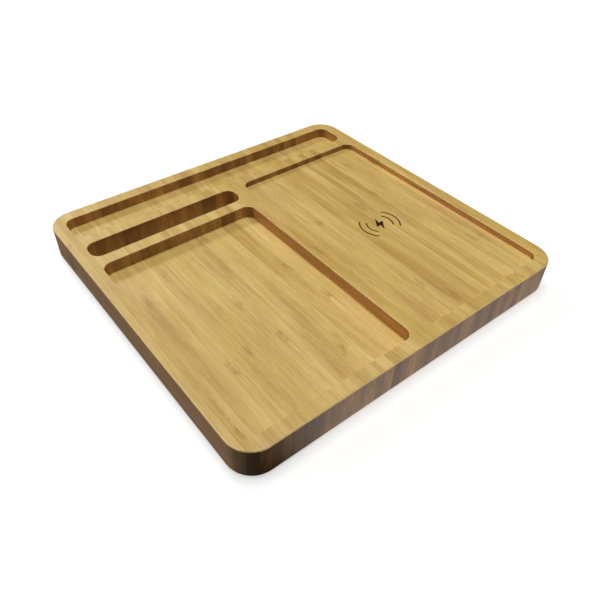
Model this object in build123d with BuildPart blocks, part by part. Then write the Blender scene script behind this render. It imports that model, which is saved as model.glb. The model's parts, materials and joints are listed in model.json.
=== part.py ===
from build123d import *

import os

# A bamboo desk tray with a wireless charger built into it.
#
# One slab of edge-glued bamboo carries everything. Four recesses are routed down into its top: a wide
# shallow bed for the phone, a deeper tray for small things, a long tray for pens and a narrow slot that
# holds a phone or a card upright. The charger sits in a pocket routed up from below, closed by a flush
# cover, with its coil under the charging mark and its power inlet in the back face.
#
# Frame: X runs across, Y from front to back, Z up. The origin is on the table, under the slab's middle.
# Millimetres throughout.

# ---- Slab ----
WIDTH = 230.0
DEPTH = 220.0
THICKNESS = 20.0
CORNER_RADIUS = 15.0
TOP_ROUNDING = 1.0
BOTTOM_ROUNDING = 0.8
FOOT_STAND = 1.5  # the feet hold the slab this far off the table

SLAB_BOTTOM = FOOT_STAND
SLAB_TOP = SLAB_BOTTOM + THICKNESS
BACK_FACE = DEPTH / 2

# ---- Recesses in the top ----
RIM = 8.6  # wood left along the slab's edges
LAND = 8.6  # wood left between one recess and the next one behind it
DIVIDER = 10.0  # wood left between the phone bed and the side tray
RECESS_RADIUS = 6.0
RECESS_ROUNDING = 0.5
BED_WIDTH = 98.0
BED_DROP = 4.0
PEN_TRAY_LENGTH = 22.0
PEN_TRAY_DROP = 7.0
SLOT_LENGTH = 15.0
SLOT_DROP = 16.0
SIDE_TRAY_DROP = 8.3

RIGHT = WIDTH / 2 - RIM
LEFT = -RIGHT
BACK = DEPTH / 2 - RIM
FRONT = -BACK
PEN_TRAY_FRONT = BACK - PEN_TRAY_LENGTH
SLOT_BACK = PEN_TRAY_FRONT - LAND
SLOT_FRONT = SLOT_BACK - SLOT_LENGTH
SIDE_TRAY_BACK = SLOT_FRONT - LAND
BED_LEFT = RIGHT - BED_WIDTH
SIDE_TRAY_RIGHT = BED_LEFT - DIVIDER

# Each recess is its left, right, front and back edge and how far its floor lies below the top.
RECESSES = (
    (BED_LEFT, RIGHT, FRONT, SLOT_BACK, BED_DROP),
    (LEFT, SIDE_TRAY_RIGHT, FRONT, SIDE_TRAY_BACK, SIDE_TRAY_DROP),
    (LEFT, SIDE_TRAY_RIGHT, SLOT_FRONT, SLOT_BACK, SLOT_DROP),
    (LEFT, RIGHT, PEN_TRAY_FRONT, BACK, PEN_TRAY_DROP),
)

BED_FLOOR = SLAB_TOP - BED_DROP

# The charging spot, where the mark and the coil lie, is a little off the middle of the phone bed. The
# rest of the charger is laid out behind it.
SPOT_SHIFT_X = -0.8
SPOT_SHIFT_Y = -0.9
SPOT_X = (BED_LEFT + RIGHT) / 2 + SPOT_SHIFT_X
SPOT_Y = (FRONT + SLOT_BACK) / 2 + SPOT_SHIFT_Y

# ---- Charging mark: a bolt between two pairs of arcs, burnt into the bed's floor ----
MARK_DEPTH = 0.3
MARK_STROKE = 1.05
MARK_ARCS = ((8.75, 38.5), (13.35, 43.5))  # radius, and half the angle that the arc spans
BOLT_TIP = (1.6, 6.2)
BOLT_SHOULDER = (-3.9, -1.45)
BOLT_NOTCH = (-0.45, -1.35)

# ---- Bottom cover, let in flush ----
COVER_THICKNESS = 3.0
COVER_WIDTH = 72.0
COVER_FRONT = -52.0
COVER_BACK = 106.5
COVER_CORNER = 6.0
COVER_GAP = 0.15
COVER_TOP = SLAB_BOTTOM + COVER_THICKNESS
COVER_CHAMFER = 0.3
COVER_LENGTH = COVER_BACK - COVER_FRONT
COVER_Y = (COVER_BACK + COVER_FRONT) / 2

COVER_SCREW_RADIUS = 1.5
COVER_SCREW_HEAD_RADIUS = 3.0
COVER_SCREW_HEAD_HEIGHT = COVER_SCREW_HEAD_RADIUS - COVER_SCREW_RADIUS  # the head is a right cone
COVER_SCREW_LENGTH = 10.0
COVER_SCREW_TIP = 1.8
COVER_SCREW_INSET = 0.05  # the heads lie this far inside the cover's face
COUNTERSINK_ANGLE = 90
COVER_SCREW_GRID = (63.0, 73.5, 2, 3)  # spacing along X and Y, and how many each way
DRIVE_SLOT_WIDTH = 0.8
THREAD_CLEARANCE = 0.02

# ---- Feet ----
FOOT_RADIUS = 6.0
FOOT_SEAT_DEPTH = 0.5
FOOT_SEAT_GAP = 0.1
FOOT_ROUNDING = 0.6
FOOT_INSET = 12.5  # from the slab's edges to a foot's centre

# ---- Pocket for the charger ----
POCKET_SKIN = 3.0  # wood left between the pocket and the phone
COIL_CEILING = BED_FLOOR - POCKET_SKIN
COIL_POCKET_RADIUS = 29.0
CHANNEL_WIDTH = 14.0
CUTTER_RADIUS = 2.0

# ---- Circuit board, held against the pocket's ceiling with its parts facing down ----
BOARD_WIDTH = 50.0
BOARD_FRONT = 75.2
BOARD_BACK = 103.2
BOARD_THICKNESS = 1.2
BOARD_TOP = 11.0
BOARD_FACE = BOARD_TOP - BOARD_THICKNESS
BOARD_CORNER = 1.5
BOARD_LENGTH = BOARD_BACK - BOARD_FRONT
BOARD_Y = (BOARD_BACK + BOARD_FRONT) / 2
NOSE_WIDTH = 12.0  # the board's nose carries the inlet into the back wall
NOSE_BACK = 106.2

BOARD_POCKET_WIDTH = 54.0
BOARD_POCKET_FRONT = 73.5
BOARD_POCKET_BACK = 103.5
NOSE_POCKET_WIDTH = 16.0
SOLDER_RELIEF = 0.8  # the ceiling steps up over the board's soldered side
SOLDER_RELIEF_SIZE = (36.0, 18.0)

BOARD_SCREW_RADIUS = 1.0
BOARD_SCREW_HEAD_RADIUS = 1.9
BOARD_SCREW_HEAD_HEIGHT = 1.3
BOARD_SCREW_LENGTH = 4.0
BOARD_SCREW_TIP = 0.8
BOARD_HOLE_RADIUS = 1.2
BOARD_HOLE_GRID = (44.0, 23.4, 2, 2)

# ---- Coil, its shield and its wires ----
TAPE_RADIUS = 24.0
TAPE_THICKNESS = 0.3
WIRE_RADIUS = 0.5
WIRE_PITCH = 1.08
WIRE_BEND = 0.65
COIL_TURNS = 10
COIL_START_RADIUS = 10.5
COIL_Z = COIL_CEILING - TAPE_THICKNESS - WIRE_RADIUS
COIL_END_RADIUS = COIL_START_RADIUS + COIL_TURNS * WIRE_PITCH

FERRITE_RADIUS = 25.0
FERRITE_THICKNESS = 2.0
FERRITE_GAP = 0.1
FERRITE_TOP = COIL_Z - WIRE_RADIUS - FERRITE_GAP
FERRITE_EYE_RADIUS = 6.0
FERRITE_SLOT_WIDTH = 5.0

INNER_LEAD_X = 1.6  # the wires run back side by side, at these places across the coil's middle
OUTER_LEAD_X = -3.2
THERMISTOR_X = -1.1
INNER_LEAD_DROP = 1.43  # the inner lead runs this far below the winding
LEAD_DROP_Y = 70.5  # where the wires step down to the board
LEAD_END_Y = 78.5
LEAD_CONTACT_GAP = 0.02
INNER_LEAD_Z = COIL_Z - INNER_LEAD_DROP
LEAD_END_Z = BOARD_FACE - LEAD_CONTACT_GAP - WIRE_RADIUS

BEAD_RADIUS = 1.2
BEAD_GAP = 0.05
BEAD_WIRE_RADIUS = 0.2
BEAD_WIRE_SPACING = 0.8
BEAD_Z = COIL_CEILING - TAPE_THICKNESS - BEAD_RADIUS - BEAD_GAP
BEAD_WIRE_END_Z = BOARD_FACE - LEAD_CONTACT_GAP - BEAD_WIRE_RADIUS

# ---- Power inlet: a USB-C receptacle under the board's nose ----
SHELL_WIDTH = 8.94
SHELL_HEIGHT = 3.26
SHELL_WALL = 0.3
SHELL_LENGTH = 7.35
SHELL_MOUTH = 109.5
SHELL_Z = BOARD_FACE - SHELL_HEIGHT / 2
TONGUE_WIDTH = 6.69
TONGUE_HEIGHT = 0.7
TONGUE_RECESS = 0.6  # the tongue's tip stands back from the shell's mouth
INLET_BASE_LENGTH = 2.1
CONTACT_PITCH = 0.5
CONTACT_COUNT = 12
CONTACT_SIZE = (0.25, 3.4, 0.05)

BEZEL_WIDTH = 13.0
BEZEL_HEIGHT = 6.4
BEZEL_INSET = 0.1  # the bezel's face lies this far inside the slab's back face
BEZEL_FACE = BACK_FACE - BEZEL_INSET
BEZEL_GAP = 0.05
BEZEL_OPENING_GAP = 0.1
BEZEL_CHAMFER = 0.3

# ---- Power light ----
LIGHT_OFFSET = 16.0  # across, from the inlet
LIGHT_Z = 8.8
LIGHT_RADIUS = 1.2
LIGHT_FRONT = 103.4
LED_SIZE = (3.0, 1.0, 1.6)

# ---- Parts on the board: size, and place from the board's centre ----
CHIP_SIZE = (7.0, 7.0, 0.9)
CHIP_PLACE = (-6.0, 1.5)
CHIP_MARK_RADIUS = 0.4
MOSFET_SIZE = (3.3, 3.3, 0.8)
MOSFET_PLACE = (6.5, 1.5)
MOSFET_GRID = (5.0, 5.0, 2, 2)
RESONANT_CAPACITOR_SIZE = (3.2, 2.5, 2.0)
RESONANT_CAPACITOR_PLACE = (11.5, -8.5)
RESONANT_CAPACITOR_GRID = (4.4, 0.0, 3, 1)
INPUT_CAPACITOR_SIZE = (1.6, 3.2, 1.6)
INPUT_CAPACITOR_PLACE = (-11.5, 10.0)
INPUT_CAPACITOR_GRID = (2.6, 0.0, 3, 1)
INDUCTOR_SIZE = (6.0, 6.0, 3.0)
INDUCTOR_PLACE = (-18.0, 1.5)
INDUCTOR_CORNER = 1.0
RESISTOR_SIZE = (0.8, 1.6, 0.45)
RESISTOR_PLACE = (-12.5, -8.5)
RESISTOR_GRID = (2.2, 0.0, 6, 1)
EDGE_BREAK = 0.1


# ---- Slab: the tray itself ----
with BuildPart() as tray_body:
    with BuildSketch(Plane.XY.offset(SLAB_BOTTOM)):
        RectangleRounded(WIDTH, DEPTH, CORNER_RADIUS)
    extrude(amount=THICKNESS)
    for x_low, x_high, y_low, y_high, drop in RECESSES:
        with BuildSketch(Plane.XY.offset(SLAB_TOP)):
            with Locations(((x_low + x_high) / 2, (y_low + y_high) / 2)):
                RectangleRounded(x_high - x_low, y_high - y_low, RECESS_RADIUS)
        extrude(amount=-drop, mode=Mode.SUBTRACT)
    fillet(faces().sort_by(Axis.Z)[-1].outer_wire().edges(), TOP_ROUNDING)
    recess_rims = [rim.edges() for rim in faces().sort_by(Axis.Z)[-1].inner_wires()]
    fillet([edge for rim in recess_rims for edge in rim], RECESS_ROUNDING)
    fillet(faces().sort_by(Axis.Z)[0].outer_wire().edges(), BOTTOM_ROUNDING)

    # The charging mark.
    with BuildSketch(Plane((SPOT_X, SPOT_Y, BED_FLOOR))):
        for side_angle in (0.0, 180.0):
            for radius, half_span in MARK_ARCS:
                with BuildLine(mode=Mode.PRIVATE) as mark_arc:
                    CenterArc((0, 0), radius, side_angle - half_span, 2 * half_span)
                SlotArc(mark_arc.edge(), MARK_STROKE)
        with BuildLine():
            bolt_half = (BOLT_TIP, BOLT_SHOULDER, BOLT_NOTCH)
            other_half = tuple((-x, -y) for x, y in bolt_half)
            Polyline(*bolt_half, *other_half, close=True)
        make_face()
    extrude(amount=-MARK_DEPTH, mode=Mode.SUBTRACT)

    # The seat for the bottom cover, and above it the round pocket for the coil with its cable channel.
    with BuildSketch(Plane((SPOT_X, COVER_Y, SLAB_BOTTOM))):
        RectangleRounded(COVER_WIDTH + 2 * COVER_GAP, COVER_LENGTH + 2 * COVER_GAP, COVER_CORNER)
    extrude(amount=COVER_THICKNESS, mode=Mode.SUBTRACT)
    with BuildSketch(Plane((SPOT_X, SPOT_Y, COVER_TOP))):
        Circle(COIL_POCKET_RADIUS)
        channel_length = BOARD_FRONT - SPOT_Y
        with Locations((0, channel_length / 2)):
            Rectangle(CHANNEL_WIDTH, channel_length)
    extrude(amount=COIL_CEILING - COVER_TOP, mode=Mode.SUBTRACT)

    # The pocket for the circuit board, with the notch for its nose and the relief over its solder.
    with BuildSketch(Plane((SPOT_X, 0, COVER_TOP))):
        board_pocket_length = BOARD_POCKET_BACK - BOARD_POCKET_FRONT
        with Locations((0, (BOARD_POCKET_BACK + BOARD_POCKET_FRONT) / 2)):
            RectangleRounded(BOARD_POCKET_WIDTH, board_pocket_length, CUTTER_RADIUS)
        nose_pocket_length = COVER_BACK - BOARD_Y
        with Locations((0, BOARD_Y + nose_pocket_length / 2)):
            RectangleRounded(NOSE_POCKET_WIDTH, nose_pocket_length, CUTTER_RADIUS)
    extrude(amount=BOARD_TOP - COVER_TOP, mode=Mode.SUBTRACT)
    with BuildSketch(Plane((SPOT_X, BOARD_Y, BOARD_TOP))):
        RectangleRounded(*SOLDER_RELIEF_SIZE, CUTTER_RADIUS)
    extrude(amount=SOLDER_RELIEF, mode=Mode.SUBTRACT)

    # The openings through the back wall, for the inlet's bezel and for the light guide.
    with BuildSketch(Plane((SPOT_X, BACK_FACE, SHELL_Z), x_dir=(1, 0, 0), z_dir=(0, -1, 0))):
        SlotOverall(BEZEL_WIDTH + 2 * BEZEL_GAP, BEZEL_HEIGHT + 2 * BEZEL_GAP)
    extrude(amount=BACK_FACE - COVER_BACK, mode=Mode.SUBTRACT)
    with BuildSketch(Plane((SPOT_X + LIGHT_OFFSET, BACK_FACE, LIGHT_Z), z_dir=(0, -1, 0))):
        Circle(LIGHT_RADIUS + BEZEL_GAP)
    extrude(amount=BACK_FACE - BOARD_POCKET_BACK, mode=Mode.SUBTRACT)

    # Seats for the feet, and holes that the screws have cut their threads in.
    with BuildSketch(Plane.XY.offset(SLAB_BOTTOM)):
        with GridLocations(WIDTH - 2 * FOOT_INSET, DEPTH - 2 * FOOT_INSET, 2, 2):
            Circle(FOOT_RADIUS + FOOT_SEAT_GAP)
    extrude(amount=FOOT_SEAT_DEPTH, mode=Mode.SUBTRACT)
    with BuildSketch(Plane((SPOT_X, COVER_Y, SLAB_BOTTOM))):
        with GridLocations(*COVER_SCREW_GRID):
            Circle(COVER_SCREW_RADIUS + THREAD_CLEARANCE)
    extrude(amount=COVER_SCREW_INSET + COVER_SCREW_LENGTH + THREAD_CLEARANCE, mode=Mode.SUBTRACT)
    with BuildSketch(Plane((SPOT_X, BOARD_Y, BOARD_FACE))):
        with GridLocations(*BOARD_HOLE_GRID):
            Circle(BOARD_SCREW_RADIUS + THREAD_CLEARANCE)
    extrude(amount=BOARD_SCREW_LENGTH + THREAD_CLEARANCE, mode=Mode.SUBTRACT)
tray_body.part.label = "tray_body"


# ---- Bottom cover and its screws ----
with BuildPart() as bottom_cover:
    with BuildSketch(Plane((SPOT_X, COVER_Y, SLAB_BOTTOM))):
        RectangleRounded(COVER_WIDTH, COVER_LENGTH, COVER_CORNER)
    extrude(amount=COVER_THICKNESS)
    chamfer(faces().sort_by(Axis.Z)[0].outer_wire().edges(), COVER_CHAMFER)
    with Locations(Plane((SPOT_X, COVER_Y, SLAB_BOTTOM), x_dir=(1, 0, 0), z_dir=(0, 0, -1))):
        with GridLocations(*COVER_SCREW_GRID):
            CounterSinkHole(
                COVER_SCREW_RADIUS + EDGE_BREAK,
                COVER_SCREW_HEAD_RADIUS + EDGE_BREAK,
                counter_sink_angle=COUNTERSINK_ANGLE,
            )
bottom_cover.part.label = "bottom_cover"

# One countersunk wood screw, point up, with its head's face at the origin.
with BuildPart() as cover_screw:
    with BuildSketch(Plane.XZ):
        with BuildLine():
            Polyline(
                (0, 0),
                (COVER_SCREW_HEAD_RADIUS, 0),
                (COVER_SCREW_RADIUS, COVER_SCREW_HEAD_HEIGHT),
                (COVER_SCREW_RADIUS, COVER_SCREW_LENGTH - COVER_SCREW_TIP),
                (0, COVER_SCREW_LENGTH),
                close=True,
            )
        make_face()
    revolve(axis=Axis.Z)
    with BuildSketch(Plane.XY):
        Rectangle(DRIVE_SLOT_WIDTH, COVER_SCREW_HEAD_RADIUS)
        Rectangle(COVER_SCREW_HEAD_RADIUS, DRIVE_SLOT_WIDTH)
    extrude(amount=COVER_SCREW_HEAD_HEIGHT / 2, mode=Mode.SUBTRACT)

with BuildPart() as cover_screws:
    with Locations(Plane((SPOT_X, COVER_Y, SLAB_BOTTOM + COVER_SCREW_INSET))):
        with GridLocations(*COVER_SCREW_GRID):
            add(cover_screw.part)
cover_screws.part.label = "cover_screws"


# ---- Feet ----
FOOT_X = WIDTH / 2 - FOOT_INSET
FOOT_Y = DEPTH / 2 - FOOT_INSET
FOOT_PLACES = {
    "foot_front_left": (-FOOT_X, -FOOT_Y),
    "foot_front_right": (FOOT_X, -FOOT_Y),
    "foot_back_left": (-FOOT_X, FOOT_Y),
    "foot_back_right": (FOOT_X, FOOT_Y),
}
feet = []
for foot_name, foot_place in FOOT_PLACES.items():
    with BuildPart() as foot:
        with BuildSketch(Plane((*foot_place, 0))):
            Circle(FOOT_RADIUS)
        extrude(amount=FOOT_STAND + FOOT_SEAT_DEPTH)
        fillet(faces().sort_by(Axis.Z)[0].edges(), FOOT_ROUNDING)
    foot.part.label = foot_name
    feet.append(foot)


# ---- Coil: tape, winding, leads, shield and thermistor ----
with BuildPart() as coil_tape:
    with BuildSketch(Plane((SPOT_X, SPOT_Y, COIL_CEILING - TAPE_THICKNESS))):
        Circle(TAPE_RADIUS)
    extrude(amount=TAPE_THICKNESS)
coil_tape.part.label = "coil_tape"

# The winding is a flat spiral of half circles, each half a pitch wider than the last. Its ends lie
# straight behind the coil's centre, both running across.
with BuildPart() as transmitter_coil:
    with BuildLine(Plane((SPOT_X, SPOT_Y, COIL_Z))) as winding:
        for half_turn in range(2 * COIL_TURNS):
            side = 1 if half_turn % 2 == 0 else -1
            radius = COIL_START_RADIUS + (2 * half_turn + 1) * WIRE_PITCH / 4
            CenterArc((0, -side * WIRE_PITCH / 4), radius, side * 90, 180)
    with BuildSketch(Plane((SPOT_X, SPOT_Y + COIL_START_RADIUS, COIL_Z), z_dir=(-1, 0, 0))):
        Circle(WIRE_RADIUS)
    sweep(path=winding.line)
transmitter_coil.part.label = "transmitter_coil"

# The inner lead turns down inside the winding and runs back under it, through the shield's slot. The
# outer one runs beside it.
with BuildPart() as coil_leads:
    with BuildLine() as inner_lead:
        FilletPolyline(
            (SPOT_X, SPOT_Y + COIL_START_RADIUS, COIL_Z),
            (SPOT_X + INNER_LEAD_X / 2, SPOT_Y + COIL_START_RADIUS, COIL_Z),
            (SPOT_X + INNER_LEAD_X, SPOT_Y + COIL_START_RADIUS - INNER_LEAD_X, COIL_Z),
            (SPOT_X + INNER_LEAD_X, SPOT_Y + COIL_START_RADIUS - INNER_LEAD_X, INNER_LEAD_Z),
            (SPOT_X + INNER_LEAD_X, LEAD_DROP_Y, INNER_LEAD_Z),
            (SPOT_X + INNER_LEAD_X, LEAD_DROP_Y, LEAD_END_Z),
            (SPOT_X + INNER_LEAD_X, LEAD_END_Y, LEAD_END_Z),
            radius=WIRE_BEND,
        )
    with BuildSketch(Plane(inner_lead.line @ 0, z_dir=inner_lead.line % 0)):
        Circle(WIRE_RADIUS)
    sweep(path=inner_lead.line)
    with BuildLine() as outer_lead:
        FilletPolyline(
            (SPOT_X, SPOT_Y + COIL_END_RADIUS, COIL_Z),
            (SPOT_X + OUTER_LEAD_X, SPOT_Y + COIL_END_RADIUS, COIL_Z),
            (SPOT_X + OUTER_LEAD_X, LEAD_DROP_Y, COIL_Z),
            (SPOT_X + OUTER_LEAD_X, LEAD_DROP_Y, LEAD_END_Z),
            (SPOT_X + OUTER_LEAD_X, LEAD_END_Y, LEAD_END_Z),
            radius=WIRE_BEND,
        )
    with BuildSketch(Plane(outer_lead.line @ 0, z_dir=outer_lead.line % 0)):
        Circle(WIRE_RADIUS)
    sweep(path=outer_lead.line)
coil_leads.part.label = "coil_leads"

with BuildPart() as ferrite_sheet:
    with BuildSketch(Plane((SPOT_X, SPOT_Y, FERRITE_TOP - FERRITE_THICKNESS))):
        Circle(FERRITE_RADIUS)
        Circle(FERRITE_EYE_RADIUS, mode=Mode.SUBTRACT)
        with Locations((0, FERRITE_RADIUS)):
            Rectangle(FERRITE_SLOT_WIDTH, 2 * FERRITE_RADIUS, mode=Mode.SUBTRACT)
    extrude(amount=FERRITE_THICKNESS)
ferrite_sheet.part.label = "ferrite_sheet"

with BuildPart() as thermistor:
    with Locations((SPOT_X + THERMISTOR_X, SPOT_Y, BEAD_Z)):
        Sphere(BEAD_RADIUS)
    for wire_side in (-1, 1):
        wire_x = SPOT_X + THERMISTOR_X + wire_side * BEAD_WIRE_SPACING / 2
        with BuildLine() as bead_wire:
            FilletPolyline(
                (wire_x, SPOT_Y, BEAD_Z - BEAD_WIRE_RADIUS),
                (wire_x, LEAD_DROP_Y, BEAD_Z - BEAD_WIRE_RADIUS),
                (wire_x, LEAD_DROP_Y, BEAD_WIRE_END_Z),
                (wire_x, LEAD_END_Y, BEAD_WIRE_END_Z),
                radius=WIRE_BEND,
            )
        with BuildSketch(Plane(bead_wire.line @ 0, z_dir=bead_wire.line % 0)):
            Circle(BEAD_WIRE_RADIUS)
        sweep(path=bead_wire.line)
thermistor.part.label = "thermistor"


# ---- Circuit board and its screws ----
with BuildPart() as circuit_board:
    with BuildSketch(Plane((SPOT_X, BOARD_Y, BOARD_FACE))):
        RectangleRounded(BOARD_WIDTH, BOARD_LENGTH, BOARD_CORNER)
        with Locations((0, (NOSE_BACK - BOARD_Y) / 2)):
            Rectangle(NOSE_WIDTH, NOSE_BACK - BOARD_Y)
        with GridLocations(*BOARD_HOLE_GRID):
            Circle(BOARD_HOLE_RADIUS, mode=Mode.SUBTRACT)
    extrude(amount=BOARD_THICKNESS)
circuit_board.part.label = "circuit_board"

# One pan-headed screw, point up, with the underside of its head at the origin.
with BuildPart() as board_screw:
    with BuildSketch(Plane.XZ):
        with BuildLine():
            Polyline(
                (0, -BOARD_SCREW_HEAD_HEIGHT),
                (BOARD_SCREW_HEAD_RADIUS, -BOARD_SCREW_HEAD_HEIGHT),
                (BOARD_SCREW_HEAD_RADIUS, 0),
                (BOARD_SCREW_RADIUS, 0),
                (BOARD_SCREW_RADIUS, BOARD_SCREW_LENGTH - BOARD_SCREW_TIP),
                (0, BOARD_SCREW_LENGTH),
                close=True,
            )
        make_face()
    revolve(axis=Axis.Z)
    fillet(faces().sort_by(Axis.Z)[0].edges(), BOARD_SCREW_HEAD_HEIGHT / 3)
    with BuildSketch(Plane.XY.offset(-BOARD_SCREW_HEAD_HEIGHT)):
        Rectangle(DRIVE_SLOT_WIDTH / 2, BOARD_SCREW_HEAD_RADIUS)
        Rectangle(BOARD_SCREW_HEAD_RADIUS, DRIVE_SLOT_WIDTH / 2)
    extrude(amount=BOARD_SCREW_HEAD_HEIGHT / 2, mode=Mode.SUBTRACT)

with BuildPart() as board_screws:
    with Locations(Plane((SPOT_X, BOARD_Y, BOARD_FACE))):
        with GridLocations(*BOARD_HOLE_GRID):
            add(board_screw.part)
board_screws.part.label = "board_screws"


# ---- Power inlet, seen from behind: each profile lies across Y and runs towards the front ----
INLET_PLANE = Plane((SPOT_X, SHELL_MOUTH, SHELL_Z), x_dir=(1, 0, 0), z_dir=(0, -1, 0))
INNER_SHELL_SIZE = (SHELL_WIDTH - 2 * SHELL_WALL, SHELL_HEIGHT - 2 * SHELL_WALL)

with BuildPart() as usb_c_shell:
    with BuildSketch(INLET_PLANE):
        SlotOverall(SHELL_WIDTH, SHELL_HEIGHT)
        SlotOverall(*INNER_SHELL_SIZE, mode=Mode.SUBTRACT)
    extrude(amount=SHELL_LENGTH)
usb_c_shell.part.label = "usb_c_shell"

# The plastic insert fills the shell's closed end and reaches forward as the contact tongue.
with BuildPart() as usb_c_tongue:
    with BuildSketch(INLET_PLANE.offset(SHELL_LENGTH - INLET_BASE_LENGTH)):
        SlotOverall(*INNER_SHELL_SIZE)
    extrude(amount=INLET_BASE_LENGTH)
    with BuildSketch(INLET_PLANE.offset(TONGUE_RECESS)):
        Rectangle(TONGUE_WIDTH, TONGUE_HEIGHT)
    extrude(amount=SHELL_LENGTH - INLET_BASE_LENGTH - TONGUE_RECESS)
usb_c_tongue.part.label = "usb_c_tongue"

with BuildPart() as usb_c_contacts:
    contact_width, contact_length, contact_height = CONTACT_SIZE
    contact_start = TONGUE_RECESS + contact_width
    contact_offset = (TONGUE_HEIGHT + contact_height) / 2
    with BuildSketch(INLET_PLANE.offset(contact_start)):
        with GridLocations(CONTACT_PITCH, 2 * contact_offset, CONTACT_COUNT, 2):
            Rectangle(contact_width, contact_height)
    extrude(amount=contact_length)
usb_c_contacts.part.label = "usb_c_contacts"

with BuildPart() as port_bezel:
    with BuildSketch(Plane((SPOT_X, BEZEL_FACE, SHELL_Z), x_dir=(1, 0, 0), z_dir=(0, -1, 0))):
        SlotOverall(BEZEL_WIDTH, BEZEL_HEIGHT)
        SlotOverall(SHELL_WIDTH + 2 * BEZEL_OPENING_GAP, SHELL_HEIGHT + 2 * BEZEL_OPENING_GAP,
                    mode=Mode.SUBTRACT)
    extrude(amount=BEZEL_FACE - COVER_BACK)
    chamfer(faces().sort_by(Axis.Y)[-1].inner_wires()[0].edges(), BEZEL_CHAMFER)
port_bezel.part.label = "port_bezel"


# ---- Power light ----
with BuildPart() as light_guide:
    with BuildSketch(Plane((SPOT_X + LIGHT_OFFSET, BEZEL_FACE, LIGHT_Z), z_dir=(0, -1, 0))):
        Circle(LIGHT_RADIUS)
    extrude(amount=BEZEL_FACE - LIGHT_FRONT)
    fillet(faces().sort_by(Axis.Y)[-1].edges(), BEZEL_CHAMFER)
light_guide.part.label = "light_guide"

led_width, led_length, led_height = LED_SIZE
with BuildPart() as status_led:
    with BuildSketch(Plane((SPOT_X + LIGHT_OFFSET, BOARD_BACK - led_length / 2, BOARD_FACE))):
        Rectangle(led_width, led_length)
    extrude(amount=-led_height)
    chamfer(faces().sort_by(Axis.Z)[0].edges(), EDGE_BREAK)
status_led.part.label = "status_led"


# ---- Parts on the board ----
def board_plane(place):
    """The board's parts side, with its origin at a place given from the board's centre."""
    return Plane((SPOT_X + place[0], BOARD_Y + place[1], BOARD_FACE))


chip_width, chip_length, chip_height = CHIP_SIZE
with BuildPart() as controller_chip:
    with BuildSketch(board_plane(CHIP_PLACE)):
        Rectangle(chip_width, chip_length)
    extrude(amount=-chip_height)
    chamfer(faces().sort_by(Axis.Z)[0].edges(), EDGE_BREAK)
    with BuildSketch(board_plane(CHIP_PLACE).offset(-chip_height)):
        with Locations((-chip_width / 3, chip_length / 3)):
            Circle(CHIP_MARK_RADIUS)
    extrude(amount=EDGE_BREAK, mode=Mode.SUBTRACT)
controller_chip.part.label = "controller_chip"

mosfet_width, mosfet_length, mosfet_height = MOSFET_SIZE
with BuildPart() as bridge_mosfets:
    with BuildSketch(board_plane(MOSFET_PLACE)):
        with GridLocations(*MOSFET_GRID):
            Rectangle(mosfet_width, mosfet_length)
    extrude(amount=-mosfet_height)
    chamfer(edges().group_by(Axis.Z)[0], EDGE_BREAK)
bridge_mosfets.part.label = "bridge_mosfets"

resonant_width, resonant_length, resonant_height = RESONANT_CAPACITOR_SIZE
with BuildPart() as resonant_capacitors:
    with BuildSketch(board_plane(RESONANT_CAPACITOR_PLACE)):
        with GridLocations(*RESONANT_CAPACITOR_GRID):
            Rectangle(resonant_width, resonant_length)
    extrude(amount=-resonant_height)
    chamfer(edges().group_by(Axis.Z)[0], EDGE_BREAK)
resonant_capacitors.part.label = "resonant_capacitors"

input_width, input_length, input_height = INPUT_CAPACITOR_SIZE
with BuildPart() as input_capacitors:
    with BuildSketch(board_plane(INPUT_CAPACITOR_PLACE)):
        with GridLocations(*INPUT_CAPACITOR_GRID):
            Rectangle(input_width, input_length)
    extrude(amount=-input_height)
    chamfer(edges().group_by(Axis.Z)[0], EDGE_BREAK)
input_capacitors.part.label = "input_capacitors"

inductor_width, inductor_length, inductor_height = INDUCTOR_SIZE
with BuildPart() as power_inductor:
    with BuildSketch(board_plane(INDUCTOR_PLACE)):
        RectangleRounded(inductor_width, inductor_length, INDUCTOR_CORNER)
    extrude(amount=-inductor_height)
    chamfer(faces().sort_by(Axis.Z)[0].edges(), 2 * EDGE_BREAK)
power_inductor.part.label = "power_inductor"

resistor_width, resistor_length, resistor_height = RESISTOR_SIZE
with BuildPart() as chip_resistors:
    with BuildSketch(board_plane(RESISTOR_PLACE)):
        with GridLocations(*RESISTOR_GRID):
            Rectangle(resistor_width, resistor_length)
    extrude(amount=-resistor_height)
chip_resistors.part.label = "chip_resistors"


# ---- Write one STEP file for each piece ----
PIECES = [
    tray_body,
    bottom_cover,
    cover_screws,
    *feet,
    coil_tape,
    transmitter_coil,
    coil_leads,
    ferrite_sheet,
    thermistor,
    circuit_board,
    board_screws,
    usb_c_shell,
    usb_c_tongue,
    usb_c_contacts,
    port_bezel,
    light_guide,
    status_led,
    controller_chip,
    bridge_mosfets,
    resonant_capacitors,
    input_capacitors,
    power_inductor,
    chip_resistors,
]
os.makedirs("parts", exist_ok=True)
for piece in PIECES:
    export_step(piece.part, f"parts/{piece.part.label}.step")
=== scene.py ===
import json
import math

import bpy
from mathutils import Matrix, Vector


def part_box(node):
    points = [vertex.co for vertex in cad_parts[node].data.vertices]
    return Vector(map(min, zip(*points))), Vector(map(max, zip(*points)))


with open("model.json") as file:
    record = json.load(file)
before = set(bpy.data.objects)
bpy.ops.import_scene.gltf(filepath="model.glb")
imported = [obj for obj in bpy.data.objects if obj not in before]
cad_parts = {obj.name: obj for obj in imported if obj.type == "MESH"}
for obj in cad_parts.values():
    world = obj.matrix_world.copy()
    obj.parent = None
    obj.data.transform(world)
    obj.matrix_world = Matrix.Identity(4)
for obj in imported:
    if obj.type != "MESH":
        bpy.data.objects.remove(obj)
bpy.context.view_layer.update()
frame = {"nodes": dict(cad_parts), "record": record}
NODES = frame["nodes"]
MM = 0.001

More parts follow.
